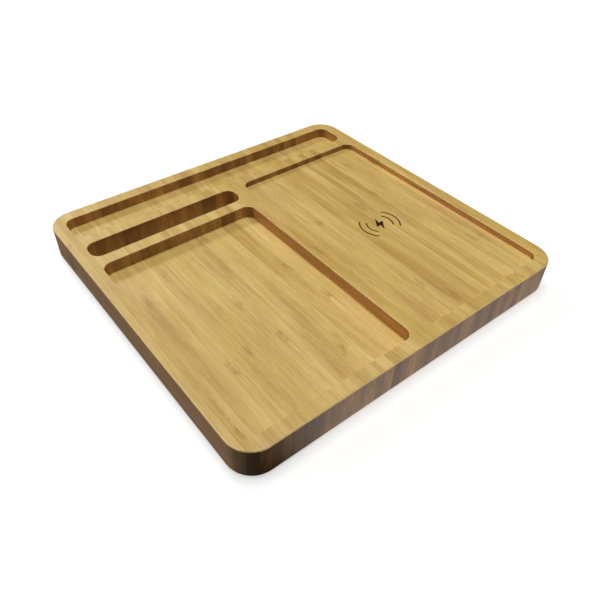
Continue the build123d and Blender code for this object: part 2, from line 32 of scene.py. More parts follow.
# ---- What the frame says ----
SLAB_LOW, SLAB_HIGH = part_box("tray_body")
SLAB_WIDTH = SLAB_HIGH.x - SLAB_LOW.x
SLAB_MIDDLE = (SLAB_LOW + SLAB_HIGH) / 2 / MM
SLAB_HALF = (SLAB_HIGH - SLAB_LOW) / 2 / MM
MOUNTS = {mount["name"]: mount for mount in frame["record"]["mounts"]}
BED_FLOOR = MOUNTS["phone_rest"]["pos_m"][2] / MM


def middle(node):
    """The middle of a node's box, in millimetres."""
    low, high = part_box(node)
    return (low + high) / 2 / MM


COIL = middle("coil_tape")
LED = middle("status_led")


# ---- Shader building ----
def srgb(red, green, blue):
    """A colour given as 0 to 255 display values, as the linear RGBA that nodes take."""
    channels = [channel / 255 for channel in (red, green, blue)]
    linear = [c / 12.92 if c <= 0.04045 else ((c + 0.055) / 1.055) ** 2.4 for c in channels]
    return (*linear, 1.0)


class Shader:
    """Builds one material's nodes. Its methods take numbers, colours or sockets and return sockets."""

    def __init__(self, name):
        self.material = bpy.data.materials.new(name)
        self.material.use_nodes = True
        self.tree = self.material.node_tree
        self.tree.nodes.clear()
        self.coordinates = self.node("ShaderNodeTexCoord")

    def node(self, kind, settings=None, **inputs):
        made = self.tree.nodes.new(kind)
        for key, value in (settings or {}).items():
            setattr(made, key, value)
        for key, value in inputs.items():
            self.connect(made, key.replace("_", " "), value)
        return made

    def connect(self, node, key, value):
        socket = node.inputs[int(key)] if key.isdigit() else node.inputs[key]
        if isinstance(value, bpy.types.NodeSocket):
            self.tree.links.new(value, socket)
        else:
            socket.default_value = value

    def math(self, operation, *values):
        made = self.node("ShaderNodeMath", {"operation": operation})
        for index, value in enumerate(values):
            self.connect(made, str(index), value)
        return made.outputs[0]

    def add(self, a, b):
        return self.math("ADD", a, b)

    def less(self, a, b):
        return self.math("SUBTRACT", a, b)

    def times(self, a, b):
        return self.math("MULTIPLY", a, b)

    def size_of(self, value):
        return self.math("ABSOLUTE", value)

    def distance(self, a, b):
        """The length of the flat vector (a, b)."""
        return self.math("SQRT", self.add(self.times(a, a), self.times(b, b)))

    def step(self, value, low, high, low_out=0.0, high_out=1.0):
        """Goes smoothly from low_out to high_out as value goes from low to high."""
        settings = {"interpolation_type": "SMOOTHSTEP"}
        made = self.node("ShaderNodeMapRange", settings, Value=value)
        for key, setting in zip(("1", "2", "3", "4"), (low, high, low_out, high_out)):
            self.connect(made, key, setting)
        return made.outputs[0]

    def spread(self, noise, low_out=0.0, high_out=1.0):
        """Spreads noise from low_out to high_out. Nearly all of it lies between 0.3 and 0.7."""
        return self.step(noise, 0.3, 0.7, low_out, high_out)

    def position(self):
        """The point on the object, in millimetres, as its three coordinates."""
        point = self.coordinates.outputs["Object"]
        scaled = self.node("ShaderNodeVectorMath", {"operation": "SCALE"}, Vector=point, Scale=1 / MM)
        return self.split(scaled.outputs[0])

    def normal(self):
        return self.split(self.coordinates.outputs["Normal"])

    def split(self, vector):
        parts = self.node("ShaderNodeSeparateXYZ", Vector=vector)
        return parts.outputs[0], parts.outputs[1], parts.outputs[2]

    def vector(self, x, y, z):
        return self.node("ShaderNodeCombineXYZ", X=x, Y=y, Z=z).outputs[0]

    def stretched(self, point, per_mm):
        """A point in pattern cells: so many per millimetre, one count or one for each axis."""
        counts = per_mm if isinstance(per_mm, tuple) else (per_mm, per_mm, per_mm)
        return self.vector(*[self.times(value, count) for value, count in zip(point, counts)])

    def grain(self, point, per_mm, detail=3.0, roughness=0.5):
        """Noise between 0 and 1, with so many grains per millimetre."""
        made = self.node("ShaderNodeTexNoise", Vector=self.stretched(point, per_mm), Scale=1.0)
        self.connect(made, "Detail", detail)
        self.connect(made, "Roughness", roughness)
        return made.outputs["Fac"]

    def cells(self, point, per_mm, feature="F1"):
        """Scattered cells, so many per millimetre: the distance from a centre or edge, and a colour."""
        place = self.stretched(point, per_mm)
        made = self.node("ShaderNodeTexVoronoi", {"feature": feature}, Vector=place, Scale=1.0)
        return made.outputs["Distance"], made.outputs.get("Color")

    def mix(self, factor, first, second, blend="MIX"):
        made = self.node("ShaderNodeMix", {"data_type": "RGBA", "blend_type": blend})
        self.connect(made, "0", factor)
        self.connect(made, "6", first)
        self.connect(made, "7", second)
        return made.outputs[2]

    def tinted(self, color, tint):
        return self.mix(1.0, color, tint, "MULTIPLY")

    def shaded(self, color, factor):
        """A colour made lighter or darker by a factor."""
        return self.tinted(color, self.vector(factor, factor, factor))

    def bump(self, height, depth_mm, strength=1.0):
        made = self.node("ShaderNodeBump", Height=height, Strength=strength, Distance=depth_mm * MM)
        return made.outputs[0]

    def finish(self, color, roughness, **more):
        surface = self.node("ShaderNodeBsdfPrincipled", Base_Color=color, Roughness=roughness, **more)
        output = self.node("ShaderNodeOutputMaterial")
        self.connect(output, "Surface", surface.outputs[0])
        return self.material


# ---- Bamboo ----
STRIP_WIDTH = 5.8
STRIP_UNEVENNESS = 0.6
CUT_FROM = (34.8, 0.0)  # where in the pattern of a wide board this tray lies
INTERNODE = 260.0  # the distance between the growth nodes of one strip
NODE_REACH = (2.8, 7.0)  # half the width and half the length of a node's dark mark
NODE_RAGGEDNESS = 3.2
CULM_SHIFT = (50.0, 90.0)  # how far apart, across and along the culm, two strips may come from
BUNDLE_EDGE = (0.12, 0.34)  # from a fibre bundle's core to its edge, in pattern cells
RIM_REACH = 3.0  # the slab's outer faces and edges lie this close to the outside
DEEP_SHADE_REACH = (SLAB_HIGH.z / MM - 6.0, SLAB_HIGH.z / MM - 10.0)  # from here down, the recess walls get a painted shade tint
MARK_REACH = 18.0  # the charging mark lies inside this radius
MARK_MIDDLE = (6.5, 8.0)  # and its bolt inside this one
MARK_TOP = (BED_FLOOR - 0.02, BED_FLOOR - 0.08)  # from here down, what is near the mark is burnt,
MARK_BOTTOM = BED_FLOOR - 1.0  # as far as here

# How many grains of each pattern there are per millimetre along X, Y and Z. The fibres run along Y.
FIBRES = (2.6, 0.05, 2.6)
BUNDLES = (1.35, 0.055, 1.35)
STREAKS = (0.62, 0.026, 0.3)
DRIFT = (0.02, 0.014, 0.02)
BLUSH = (0.06, 0.012, 0.05)
BLOTCHES = (0.08, 0.02, 0.05)
BANDS = (0.07, 0.006, 0.05)
MOTTLE = (0.35, 0.22, 0.3)
OLIVE_PATCHES = (0.11, 0.04, 0.05)
NODE_OUTLINE = (0.6, 0.22, 0.6)
NODE_DASHES = (1.0, 0.36, 1.0)
END_LINES = (0.25, 0.002, 0.03)
SIDE_LAYERS = (0.3, 0.02, 0.7)
SOOT = (3.0, 1.2, 1.0)

LIGHT_BAMBOO = srgb(210, 180, 106)
DARK_BAMBOO = srgb(195, 161, 81)
PINK_BAMBOO = srgb(212, 176, 114)
OLIVE_BAMBOO = srgb(200, 176, 86)
STREAK_BROWN = srgb(156, 110, 46)
NODE_BROWN = srgb(146, 108, 46)
GLUE_LINE = srgb(226, 198, 134)
# A painted highlight: the pale colour laid on the roundings between flat and upright faces.
EDGE_HIGHLIGHT = srgb(255, 221, 158)
CHAR = srgb(30, 14, 5)
CHAR_EDGE = srgb(68, 40, 8)
LIGHT_CHAR = srgb(116, 78, 22)

# What the flat faces' colour is multiplied by on the upright ones. This is partly the grain's own
# darker colour and partly painted shade, as the upright faces get less light than the top.
END_GRAIN_AND_SHADE_TINT = (0.78, 0.575, 0.5, 1.0)
# Painted shade deep in the recesses: the walls there are made greyer and less orange.
DEEP_SHADE_TINT = (0.88, 0.99, 1.18, 1.0)
SIDE_GRAIN_AND_SHADE_TINT = (1.0, 0.67, 0.555, 1.0)
# Painted light: the outer sides are tinted paler and less orange than the inner ones.
OUTER_SIDE_SHADE_AND_LIGHT_TINT = (1.02, 0.75, 0.62, 1.0)
GREEN_LOSS = 1.25  # darker bamboo loses this power more green than red,
BLUE_LOSS = 1.8  # and this power more blue

# What each pattern multiplies the colour by, at its low end and at its high end.
FIBRE_TONES = (0.94, 1.05)
DRIFT_TONES = (0.93, 1.05)
STREAK_TONES = (0.9, 1.06)
BLOTCH_TONES = (0.95, 1.04)
MOTTLE_TONES = (0.98, 1.02)
LAYER_TONES = (0.84, 1.16)
END_LINE_TONES = (1.14, 0.78)
END_STRIP_TONES = (1.24, 0.76)
# Painted shade: the upright corners are darkened by this much.
CORNER_SHADE_TONE = 0.8
SKIN_TONES = (-0.08, 0.08)  # how much the tone changes from one side of a strip to the other

# How much of its own colour each mark brings.
STRIP_MARK = (0.1, 0.85)  # from the lightest strip to the darkest
BUNDLE_MARK = 0.14
STREAK_MARK = 0.36
BAND_MARK = 0.4
OLIVE_MARK = 0.32
BLUSH_MARK = 0.45
PINK_STRIP_MARK = 0.25
GLUE_MARK = 0.6
SEAM_MARK = 0.3
NODE_MARK = 0.36
DASH_MARK = 0.5  # on top of the node's
EDGE_HIGHLIGHT_MARK = (0.3, 0.62)  # of the painted edge highlight, in the recesses and on the outside
LIGHT_CHAR_MARK = 0.6

# Which strips have a pale line of glue or a brown seam beside them, by their random number.
GLUE_STRIPS = (0.6, 0.7)
SEAM_STRIPS = (0.35, 0.25)
GLUED_EDGE = (0.025, 0.05)  # how far those reach in, as a part of the strip's width

FLAT_ROUGHNESS = (0.42, 0.55)
UPRIGHT_ROUGHNESS = 0.05  # an upright face is this much rougher
SANDED_SMOOTHNESS = 0.12  # and a sanded edge this much smoother
CHAR_ROUGHNESS = 0.85
SHINE = (0.5, 0.95)  # specular level of flat faces and of upright ones,
CHAR_DULLNESS = 0.4  # less this in the burnt mark
CORNER_DULLNESS = 0.6  # and this in the corners
GRAIN_DEPTH = 0.03
GRAIN_STRENGTH = 0.5


def bamboo():
    """Edge-glued bamboo. The strips stand side by side along X and run front to back, through the slab."""
    s = Shader("bamboo_laminate")
    point = s.position()
    board = (s.add(point[0], CUT_FROM[0]), s.add(point[1], CUT_FROM[1]), point[2])
    strips = bamboo_strips(s, board[0])
    along, end_grain, corner, upright, rounding = bamboo_faces(s)
    rim = bamboo_rim(s, point)
    fibres = s.grain(board, FIBRES)
    bundle_distance, _ = s.cells(board, BUNDLES)
    bundles = s.step(bundle_distance, *BUNDLE_EDGE, 1.0, 0.0)

    color = bamboo_flat(s, board, strips, fibres, bundles)
    end_color = bamboo_end(s, color, board, strips, corner)
    # Painted shade: deep in the recesses the walls turn greyer.
    deep_shade = s.times(s.step(point[2], *DEEP_SHADE_REACH), s.less(1.0, rim))
    end_color = s.mix(deep_shade, end_color, DEEP_SHADE_TINT, "MULTIPLY")
    color = s.mix(end_grain, color, end_color)
    color = s.mix(along, color, bamboo_side(s, color, board, rim))
    # Painted highlight: the roundings are made paler, more on the outside than in the recesses.
    edge_highlight = s.times(rounding, s.step(rim, 0.0, 1.0, *EDGE_HIGHLIGHT_MARK))
    color = s.mix(edge_highlight, color, EDGE_HIGHLIGHT)

    burnt, thin = charging_mark(s, point)
    char = s.mix(s.grain(point, SOOT, detail=2.0), CHAR, CHAR_EDGE)
    color = s.mix(burnt, color, s.mix(s.times(thin, LIGHT_CHAR_MARK), char, LIGHT_CHAR))

    roughness = s.step(fibres, 0.2, 0.8, *FLAT_ROUGHNESS)
    roughness = s.add(roughness, s.times(upright, UPRIGHT_ROUGHNESS))
    roughness = s.less(roughness, s.times(rounding, SANDED_SMOOTHNESS))
    roughness = s.math("MAXIMUM", roughness, s.times(burnt, CHAR_ROUGHNESS))
    height = s.less(s.times(fibres, 0.5), s.times(bundles, 0.5))
    dull_corner = s.times(s.times(corner, upright), CORNER_DULLNESS)
    dull = s.math("MAXIMUM", s.times(burnt, CHAR_DULLNESS), dull_corner)
    shine = s.less(s.step(upright, 0.0, 1.0, *SHINE), dull)
    normal = s.bump(height, GRAIN_DEPTH, GRAIN_STRENGTH)
    return s.finish(color, roughness, Normal=normal, Specular_IOR_Level=shine)


def bamboo_strips(s, x):
    """Which strip the point is in: three random numbers for it, where across it, and its glued edges."""
    across = s.times(x, 1 / STRIP_WIDTH)
    one_wide = {"voronoi_dimensions": "1D"}
    to_edge = {"voronoi_dimensions": "1D", "feature": "DISTANCE_TO_EDGE"}
    place = {"W": across, "Scale": 1.0, "Randomness": STRIP_UNEVENNESS}
    nearest = s.node("ShaderNodeTexVoronoi", one_wide, **place)
    edge = s.node("ShaderNodeTexVoronoi", to_edge, **place)
    tone, hue, phase = s.split(nearest.outputs["Color"])
    offset = s.less(across, nearest.outputs["W"])
    right_half = s.math("GREATER_THAN", offset, 0.0)
    glued = s.times(s.step(edge.outputs["Distance"], *GLUED_EDGE, 1.0, 0.0), right_half)
    glue = s.times(glued, s.step(phase, *GLUE_STRIPS))
    seam = s.times(glued, s.step(phase, *SEAM_STRIPS))
    return {"tone": tone, "hue": hue, "phase": phase, "offset": offset, "glue": glue, "seam": seam}


def bamboo_faces(s):
    """How far a face shows a strip's side or its end grain, turns a corner, stands upright, and is a
    rounding between a flat face and an upright one."""
    nx, ny, nz = [s.size_of(value) for value in s.normal()]
    upright = s.step(nz, 0.5, 0.2)
    side = s.step(nx, 0.92, 1.0)
    along = s.times(upright, side)
    end_grain = s.times(upright, s.less(1.0, side))
    corner = s.times(s.times(nx, ny), 2.0)
    rounding = s.times(s.step(nz, 0.98, 0.85), s.step(nz, 0.1, 0.5))
    return along, end_grain, corner, upright, rounding


def bamboo_rim(s, point):
    """1 on the slab's outer faces and edges, where the roundings get more painted highlight."""
    from_middle = [s.less(value, centre) for value, centre in zip(point, SLAB_MIDDLE)]
    beyond = [s.less(s.size_of(value), half - RIM_REACH) for value, half in zip(from_middle, SLAB_HALF)]
    return s.step(s.math("MAXIMUM", beyond[0], beyond[1]), 0.0, 0.5)


def toned(s, color, factor):
    """A colour made lighter or darker by a factor. Darker bamboo is also browner."""
    green = s.math("POWER", factor, GREEN_LOSS)
    blue = s.math("POWER", factor, BLUE_LOSS)
    return s.tinted(color, s.vector(factor, green, blue))


def bamboo_flat(s, board, strips, fibres, bundles):
    """The colour of the flat faces, where the strips are cut along their fibres."""
    color = bamboo_tone(s, board, strips)
    color = toned(s, color, s.step(fibres, 0.25, 0.75, *FIBRE_TONES))
    color = s.mix(s.times(bundles, BUNDLE_MARK), color, STREAK_BROWN)
    color = s.mix(bamboo_nodes(s, board, strips), color, NODE_BROWN)
    color = s.mix(s.times(strips["glue"], GLUE_MARK), color, GLUE_LINE)
    return s.mix(s.times(strips["seam"], SEAM_MARK), color, STREAK_BROWN)


def bamboo_tone(s, board, strips):
    """Colour from strip to strip, along each strip, and in streaks and blotches of the culm."""
    x, y, z = board
    color = s.mix(s.step(strips["tone"], 0.0, 1.0, *STRIP_MARK), LIGHT_BAMBOO, DARK_BAMBOO)
    blush = s.step(s.grain(board, BLUSH, detail=2.0), 0.5, 0.7, 0.0, BLUSH_MARK)
    pink = s.add(s.times(s.step(strips["hue"], 0.6, 1.0), PINK_STRIP_MARK), blush)
    color = s.mix(pink, color, PINK_BAMBOO)

    # One side of a strip lay nearer the culm's skin, where it is darker.
    lean = s.times(strips["offset"], s.step(strips["hue"], 0.45, 0.55, *SKIN_TONES))
    color = toned(s, color, s.add(lean, 1.0))

    # Every strip comes from another place in the culm.
    culm_x = s.add(x, s.times(strips["tone"], CULM_SHIFT[0]))
    culm_y = s.add(y, s.times(strips["phase"], CULM_SHIFT[1]))
    culm = (culm_x, culm_y, z)
    drift = s.grain(culm, DRIFT)
    color = toned(s, color, s.spread(drift, *DRIFT_TONES))
    streaks = s.grain(culm, STREAKS, roughness=0.65)
    color = toned(s, color, s.spread(streaks, *STREAK_TONES))
    color = s.mix(s.step(streaks, 0.4, 0.26, 0.0, STREAK_MARK), color, STREAK_BROWN)

    # The board as a whole is blotched, banded along the grain and lightly mottled.
    blotches = s.grain(board, BLOTCHES, detail=2.0)
    color = toned(s, color, s.spread(blotches, *BLOTCH_TONES))
    bands = s.grain(board, BANDS, roughness=0.6)
    color = s.mix(s.step(bands, 0.5, 0.3, 0.0, BAND_MARK), color, STREAK_BROWN)
    mottle = s.grain(board, MOTTLE, detail=2.0)
    color = toned(s, color, s.spread(mottle, *MOTTLE_TONES))
    olive = s.grain(board, OLIVE_PATCHES, detail=2.0)
    return s.mix(s.step(olive, 0.5, 0.72, 0.0, OLIVE_MARK), color, OLIVE_BAMBOO)


def bamboo_nodes(s, board, strips):
    """Growth nodes: once per internode each strip has a brown smudge with short dark dashes in it."""
    half_width, half_length = NODE_REACH
    place = s.math("FRACT", s.add(s.times(board[1], 1 / INTERNODE), s.times(strips["phase"], 7.0)))
    from_node = s.times(s.less(place, 0.5), INTERNODE / half_length)
    from_middle = s.times(strips["offset"], STRIP_WIDTH / half_width)
    ragged = s.grain(board, NODE_OUTLINE, roughness=0.65)
    raggedness = s.times(s.less(ragged, 0.5), NODE_RAGGEDNESS)
    reach = s.add(s.distance(from_middle, from_node), raggedness)
    smudge = s.step(reach, 1.1, 0.1)
    dash_distance, dash_color = s.cells(board, NODE_DASHES)
    picked, _, _ = s.split(dash_color)
    dash = s.times(s.step(dash_distance, 0.45, 0.2), s.step(picked, 0.5, 0.65))
    return s.times(smudge, s.add(s.times(dash, DASH_MARK), NODE_MARK))


def bamboo_end(s, color, board, strips, corner):
    """Faces that cut across the strips. Each strip drinks more of the oil there, and its fibres show as
    fine upright lines. Their darker tint is partly painted shade; the corners get painted shade too."""
    lines = s.grain(board, END_LINES, detail=5.0, roughness=0.62)
    color = s.tinted(color, END_GRAIN_AND_SHADE_TINT)
    color = s.shaded(color, s.step(lines, 0.3, 0.68, *END_LINE_TONES))
    color = s.shaded(color, s.step(strips["tone"], 0.0, 1.0, *END_STRIP_TONES))
    return s.shaded(color, s.step(corner, 0.2, 1.0, 1.0, CORNER_SHADE_TONE))


def bamboo_side(s, color, board, rim):
    """Faces that show the side of one strip, in layers along its fibres. Their tint is partly painted
    shade, and paler on the outside as painted light.
    """
    layers = s.grain(board, SIDE_LAYERS, detail=4.0, roughness=0.6)
    color = s.tinted(color, s.mix(rim, SIDE_GRAIN_AND_SHADE_TINT, OUTER_SIDE_SHADE_AND_LIGHT_TINT))
    return s.shaded(color, s.spread(layers, *LAYER_TONES))


def charging_mark(s, point):
    """1 in the engraved charging mark: below the phone bed's floor, but above the charger's pocket. Then
    1 in the mark's arcs, which are thin and burnt less than its middle."""
    x, y, z = point
    from_spot = s.distance(s.less(x, COIL.x), s.less(y, COIL.y))
    near = s.math("LESS_THAN", from_spot, MARK_REACH)
    sunk = s.step(z, *MARK_TOP)
    above_pocket = s.math("GREATER_THAN", z, MARK_BOTTOM)
    return s.times(s.times(near, sunk), above_pocket), s.step(from_spot, *MARK_MIDDLE)


# ---- Plastics and rubber ----
PLASTIC_BLACK = srgb(44, 44, 46)
INLET_BLACK = srgb(30, 30, 32)
RUBBED_PLASTIC = srgb(120, 120, 122)
RUBBER_BLACK = srgb(46, 46, 47)
DUST = srgb(150, 146, 138)
FILM_WHITE = srgb(224, 219, 202)
TRAPPED_AIR = srgb(238, 236, 228)
ACRYLIC = srgb(240, 243, 244)
ACRYLIC_INDEX = 1.49  # of refraction


def moulded_plastic(name, color, roughness, per_mm=3.0):
    """Dark plastic with a spark-eroded texture, rubbed smoother and paler along its edges."""
    s = Shader(name)
    point = s.position()
    texture = s.grain(point, per_mm)
    handling = s.grain(point, (0.05, 0.08, 0.05))
    worn = s.times(edge_wear(s, reach_mm=0.3), s.step(handling, 0.35, 0.65, 0.4, 1.0))
    shade = s.shaded(color, s.add(s.spread(texture, 0.82, 1.12), s.times(handling, 0.2)))
    pale = s.mix(s.times(worn, 0.25), shade, RUBBED_PLASTIC)
    rough = s.less(s.add(roughness, s.spread(handling, -0.06, 0.06)), s.times(worn, 0.1))
    return s.finish(pale, rough, Normal=s.bump(texture, depth_mm=0.03, strength=0.6))


def edge_wear(s, reach_mm):
    """1 on sharp edges, 0 a little way in from them."""
    rounded = s.node("ShaderNodeBevel", {"samples": 4}, Radius=reach_mm * MM).outputs[0]
    flat = s.node("ShaderNodeNewGeometry").outputs["Normal"]
    agree = s.node("ShaderNodeVectorMath", {"operation": "DOT_PRODUCT"})
    s.connect(agree, "0", rounded)
    s.connect(agree, "1", flat)
    return s.step(agree.outputs["Value"], 0.995, 0.9)


def rubber():
    """Matt black silicone with a little dust on it."""
    s = Shader("silicone_rubber")
    point = s.position()
    skin = s.grain(point, 1.6, detail=4.0)
    dust_distance, _ = s.cells(point, 1.4)
    dust = s.times(s.step(dust_distance, 0.22, 0.08), s.step(skin, 0.45, 0.6))
    color = s.shaded(RUBBER_BLACK, s.spread(skin, 0.8, 1.15))
    color = s.mix(s.times(dust, 0.35), color, DUST)
    rough = s.spread(skin, 0.72, 0.9)
    return s.finish(color, rough, Normal=s.bump(skin, depth_mm=0.05, strength=0.5))


def adhesive_film():
    """Milky double-sided film, slightly wrinkled, with a few bubbles under it."""
    s = Shader("adhesive_film")
    point = s.position()
    wrinkle = s.grain(point, (0.14, 0.3, 1.0), roughness=0.6)
    bubble_distance, _ = s.cells(point, 0.5)
    bubble = s.step(bubble_distance, 0.2, 0.12)
    color = s.shaded(FILM_WHITE, s.spread(wrinkle, 0.9, 1.04))
    color = s.mix(s.times(bubble, 0.25), color, TRAPPED_AIR)
    rough = s.spread(wrinkle, 0.3, 0.5)
    return s.finish(color, rough, Normal=s.bump(wrinkle, depth_mm=0.1, strength=0.5))


def clear_acrylic():
    """Clear rod with a lightly frosted face."""
    s = Shader("clear_acrylic")
    frost = s.grain(s.position(), 6.0)
    color = s.shaded(ACRYLIC, s.spread(frost, 0.94, 1.0))
    rough = s.spread(frost, 0.18, 0.35)
    normal = s.bump(frost, depth_mm=0.01, strength=0.4)
    return s.finish(color, rough, Normal=normal, Transmission_Weight=0.75, IOR=ACRYLIC_INDEX)


# ---- Metals ----
ZINC = srgb(196, 198, 202)
STEEL = srgb(190, 192, 196)
GOLD = srgb(232, 188, 96)
DARK_COPPER = srgb(196, 104, 52)
LIGHT_COPPER = srgb(222, 138, 78)
BLACKENED = srgb(52, 52, 55)
BRIGHT_METAL = srgb(150, 150, 152)


def worked_metal(name, color, roughness, per_mm=4.0, dull=0.5):
    """Bare or plated metal, with fine scratches drawn out along the axis that has the fewest of them."""
    s = Shader(name)
    point = s.position()
    scratches = s.grain(point, per_mm, detail=4.0, roughness=0.6)
    cloud = s.grain(point, 0.5)
    shade = s.shaded(color, s.add(s.spread(scratches, 0.85, 1.0), s.times(cloud, 0.12)))
    tarnish = s.times(s.step(cloud, 0.5, 0.75), dull)
    shade = s.mix(tarnish, shade, s.shaded(color, 0.6))
    rough = s.add(roughness, s.spread(scratches, -0.08, 0.08))
    return s.finish(shade, rough, Metallic=1.0, Normal=s.bump(scratches, depth_mm=0.01, strength=0.5))


def enamelled_copper():
    """Copper wire under clear enamel, its tone wandering from turn to turn."""
    s = Shader("enamelled_copper")
    point = s.position()
    x, y, _ = point
    turn = s.distance(s.less(x, COIL.x), s.less(y, COIL.y))
    tone = s.grain((turn, 0.0, 0.0), 0.9, detail=2.0)
    drawn = s.grain(point, (1.2, 1.2, 3.0), detail=4.0)
    color = s.mix(s.spread(tone), DARK_COPPER, LIGHT_COPPER)
    color = s.shaded(color, s.spread(drawn, 0.86, 1.06))
    rough = s.spread(drawn, 0.26, 0.4)
    normal = s.bump(drawn, depth_mm=0.02, strength=0.4)
    return s.finish(color, rough, Metallic=0.9, Normal=normal, Coat_Weight=0.6, Coat_Roughness=0.15)


def black_zinc():
    """Blackened screw metal, bright where the driver has rubbed it."""
    s = Shader("black_zinc")
    crystals = s.grain(s.position(), 4.0)
    rubbed = s.times(edge_wear(s, reach_mm=0.15), s.step(crystals, 0.4, 0.6, 0.4, 1.0))
    color = s.shaded(BLACKENED, s.spread(crystals, 0.75, 1.2))
    color = s.mix(s.times(rubbed, 0.6), color, BRIGHT_METAL)
    rough = s.less(s.spread(crystals, 0.38, 0.52), s.times(rubbed, 0.12))
    return s.finish(color, rough, Metallic=0.85, Normal=s.bump(crystals, depth_mm=0.01, strength=0.5))


# ---- Electronics ----
SHIELD_GREY = srgb(64, 63, 66)
INDUCTOR_GREY = srgb(104, 104, 108)
CRACK_BLACK = srgb(20, 20, 21)
SOLDER_MASK = srgb(14, 70, 40)
MASKED_COPPER = srgb(32, 104, 58)
BARE_LAMINATE = srgb(176, 164, 106)
TRACK_SPACING = 0.8
TRACK_SHIFT = 3.0  # how far a track steps sideways where it bends
WEAVE_PER_MM = 7.0  # in radians: one thread of the glass cloth is half a turn
MOULDING_BLACK = srgb(42, 42, 44)
CERAMIC = srgb(176, 142, 100)
RESISTOR_BLACK = srgb(30, 30, 33)
TIN = srgb(206, 207, 208)
PACKAGE_WHITE = srgb(232, 231, 224)
LENS_YELLOW = srgb(236, 214, 130)
LENS_RADIUS = 0.45
RESIN_BLACK = srgb(34, 30, 30)
TINNED_WIRE = srgb(190, 190, 188)
BEAD_END = (COIL.y + 1.1, COIL.y + 1.4)  # behind this the bead's wires come out of it


def ferrite(name, color):
    """Sintered ferrite: matt, speckled, with hairline cracks between its tiles."""
    s = Shader(name)
    point = s.position()
    speckle = s.grain(point, 5.0)
    crack_distance, _ = s.cells(point, (0.11, 0.11, 0.02), feature="DISTANCE_TO_EDGE")
    crack = s.step(crack_distance, 0.014, 0.006)
    shade = s.shaded(color, s.spread(speckle, 0.8, 1.25))
    shade = s.mix(s.times(crack, 0.6), shade, CRACK_BLACK)
    height = s.less(speckle, s.times(crack, 2.0))
    rough = s.spread(speckle, 0.6, 0.75)
    return s.finish(shade, rough, Normal=s.bump(height, depth_mm=0.02, strength=0.5))


def circuit_laminate():
    """Green solder mask over copper on both faces, the glass cloth showing through; bare on the edges."""
    s = Shader("circuit_laminate")
    point = s.position()
    x, y, _ = point
    _, _, nz = s.normal()
    copper = board_copper(s, point)
    weave = s.times(s.math("SINE", s.times(x, WEAVE_PER_MM)), s.math("SINE", s.times(y, WEAVE_PER_MM)))
    face = s.mix(copper, SOLDER_MASK, MASKED_COPPER)
    face = s.shaded(face, s.spread(s.grain(point, 0.4, detail=2.0), 0.92, 1.06))
    fibres = s.grain(point, (2.0, 2.0, 9.0))
    edge = s.step(s.size_of(nz), 0.7, 0.5)
    color = s.mix(edge, face, s.shaded(BARE_LAMINATE, s.spread(fibres, 0.75, 1.1)))
    height = s.add(copper, s.times(weave, 0.12))
    rough = s.add(0.28, s.times(edge, 0.4))
    return s.finish(color, rough, Normal=s.bump(height, depth_mm=0.04, strength=0.8))


def board_copper(s, point):
    """1 where there is copper: tracks from front to back in some patches, poured copper in others."""
    x, y, _ = point
    lanes = s.grain((y, 0.0, 0.0), 0.16, detail=1.0)
    bend = s.times(s.step(lanes, 0.45, 0.55), TRACK_SHIFT)
    across = s.math("FRACT", s.times(s.add(x, bend), 1 / TRACK_SPACING))
    track = s.step(s.size_of(s.less(across, 0.5)), 0.2, 0.15)
    _, patch_color = s.cells(point, (0.16, 0.16, 0.01))
    picked, _, _ = s.split(patch_color)
    tracks = s.times(track, s.math("GREATER_THAN", picked, 0.45))
    return s.math("MAXIMUM", tracks, s.math("LESS_THAN", picked, 0.2))


def chip_package():
    """Black moulding compound with silica specks."""
    s = Shader("chip_package")
    specks = s.grain(s.position(), 8.0)
    color = s.shaded(MOULDING_BLACK, s.spread(specks, 0.8, 1.3))
    color = s.shaded(color, s.step(each_piece(s), 0.0, 1.0, 0.9, 1.1))
    rough = s.spread(specks, 0.5, 0.66)
    return s.finish(color, rough, Normal=s.bump(specks, depth_mm=0.01, strength=0.5))


def each_piece(s):
    """A random number from 0 to 1 for each separate solid in a node."""
    return s.node("ShaderNodeNewGeometry").outputs["Random Per Island"]


def terminal_part(name, body, terminals_along_x):
    """A ceramic chip part: glazed body, tinned at the two ends of its length."""
    s = Shader(name)
    nx, ny, _ = s.normal()
    glaze = s.grain(s.position(), 3.0)
    end = s.step(s.size_of(nx if terminals_along_x else ny), 0.5, 0.7)
    shade = s.shaded(body, s.spread(glaze, 0.88, 1.1))
    shade = s.shaded(shade, s.step(each_piece(s), 0.0, 1.0, 0.88, 1.1))
    tin = s.shaded(TIN, s.spread(glaze, 0.8, 1.0))
    rough = s.less(0.42, s.times(end, 0.12))
    normal = s.bump(glaze, depth_mm=0.01, strength=0.5)
    return s.finish(s.mix(end, shade, tin), rough, Metallic=end, Normal=normal)


def led_package():
    """White moulded package, its silicone lens slightly yellow in the middle."""
    s = Shader("led_package")
    point = s.position()
    x, _, z = point
    from_lens = s.distance(s.less(x, LED.x), s.less(z, LED.z))
    speckle = s.grain(point, 5.0)
    color = s.mix(s.step(from_lens, 0.6, LENS_RADIUS), PACKAGE_WHITE, LENS_YELLOW)
    color = s.shaded(color, s.spread(speckle, 0.93, 1.02))
    rough = s.step(from_lens, LENS_RADIUS, 0.6, 0.18, 0.5)
    return s.finish(color, rough, Normal=s.bump(speckle, depth_mm=0.01, strength=0.5))


def resin_bead():
    """Glossy dark resin, dipped, with tinned wires behind it."""
    s = Shader("resin_bead")
    point = s.position()
    flow = s.grain(point, (0.9, 0.4, 0.9), detail=2.0)
    wire = s.step(point[1], *BEAD_END)
    color = s.shaded(s.mix(wire, RESIN_BLACK, TINNED_WIRE), s.spread(flow, 0.85, 1.1))
    rough = s.spread(flow, 0.18, 0.34)
    normal = s.bump(flow, depth_mm=0.03, strength=0.5)
    return s.finish(color, rough, Metallic=wire, Normal=normal)


